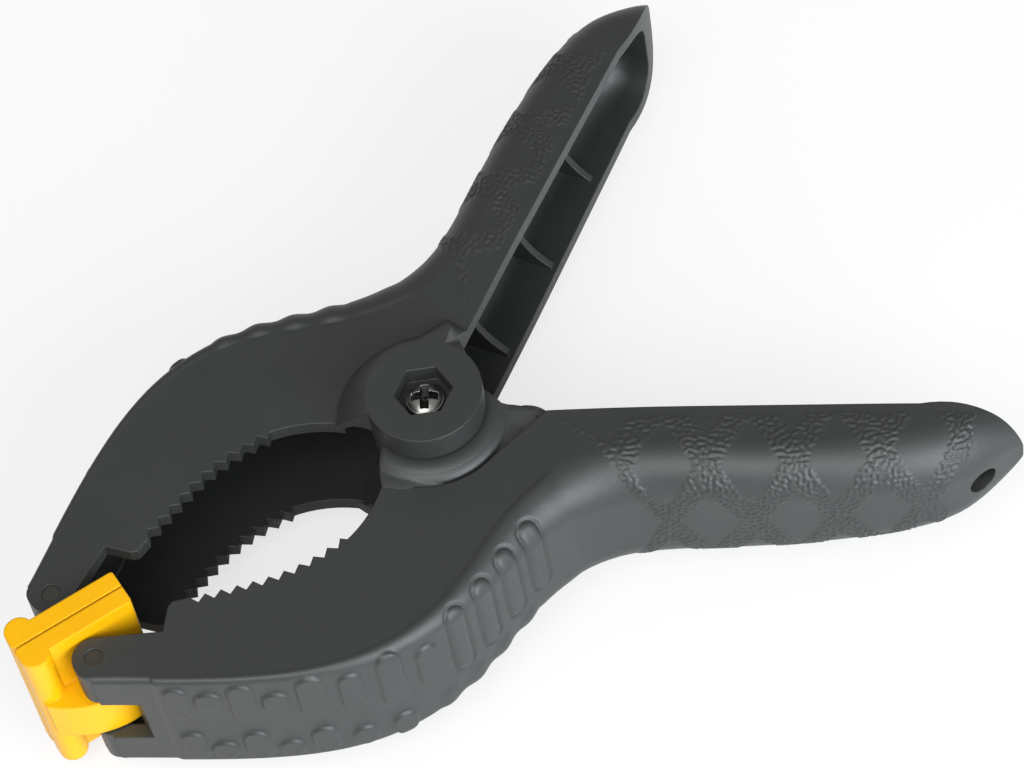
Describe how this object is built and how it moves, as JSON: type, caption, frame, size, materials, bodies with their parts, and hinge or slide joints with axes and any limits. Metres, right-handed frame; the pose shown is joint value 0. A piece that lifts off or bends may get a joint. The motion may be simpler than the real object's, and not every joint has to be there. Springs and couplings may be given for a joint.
{
  "type": "spring clamp",
  "caption": "Hand-held spring clamp: moulded arms with toothed jaws crossing at a sprung pivot, with swivelling jaw pads.",
  "frame": {"origin": "on the pivot axis, in the flat outer face of the lower hub cheek", "axes": "+Z along the pivot towards the screw head; +X along the middle line between the handles; +Y towards the upper arm"},
  "size_m": [0.1489, 0.108, 0.039],
  "materials": {
    "arm_plastic": "fine spark-eroded, dark green-grey, textured grips",
    "pad_plastic": "smooth satin, yellow-orange",
    "pin_steel": "dark drawn wire",
    "screw_steel": "zinc plated",
    "nut_steel": "zinc plated",
    "spring_steel": "drawn music wire"
  },
  "bodies": {
    "lower_arm_body": {"lower_arm": "arm_plastic", "lower_pad_pin": "pin_steel", "pivot_screw": "screw_steel", "pivot_nut": "nut_steel", "torsion_spring": "spring_steel"},
    "upper_arm_body": {"upper_arm": "arm_plastic", "upper_pad_pin": "pin_steel"},
    "lower_pad_body": {"lower_pad": "pad_plastic"},
    "upper_pad_body": {"upper_pad": "pad_plastic"}
  },
  "joints": [
    {"name": "arm_pivot", "type": "hinge", "parent": "lower_arm_body", "child": "upper_arm_body", "pos_m": [0, 0, 0.0195], "axis": [0, 0, -1], "range_deg": [0, 60], "stiffness_Nm_per_rad": 2.35, "springref_deg": -57.3, "deforming": ["torsion_spring"]},
    {"name": "lower_pad_swivel", "type": "hinge", "parent": "lower_arm_body", "child": "lower_pad_body", "pos_m": [-0.0642, -0.00685, 0.0195], "axis": [0, 0, -1], "range_deg": [0, 30]},
    {"name": "upper_pad_swivel", "type": "hinge", "parent": "upper_arm_body", "child": "upper_pad_body", "pos_m": [-0.0642, 0.00685, 0.0195], "axis": [0, 0, 1], "range_deg": [0, 30]}
  ],
  "couplings": [
    {"joint": "lower_pad_swivel", "follows": "arm_pivot", "ratio": 0.5},
    {"joint": "upper_pad_swivel", "follows": "arm_pivot", "ratio": 0.5}
  ]
}
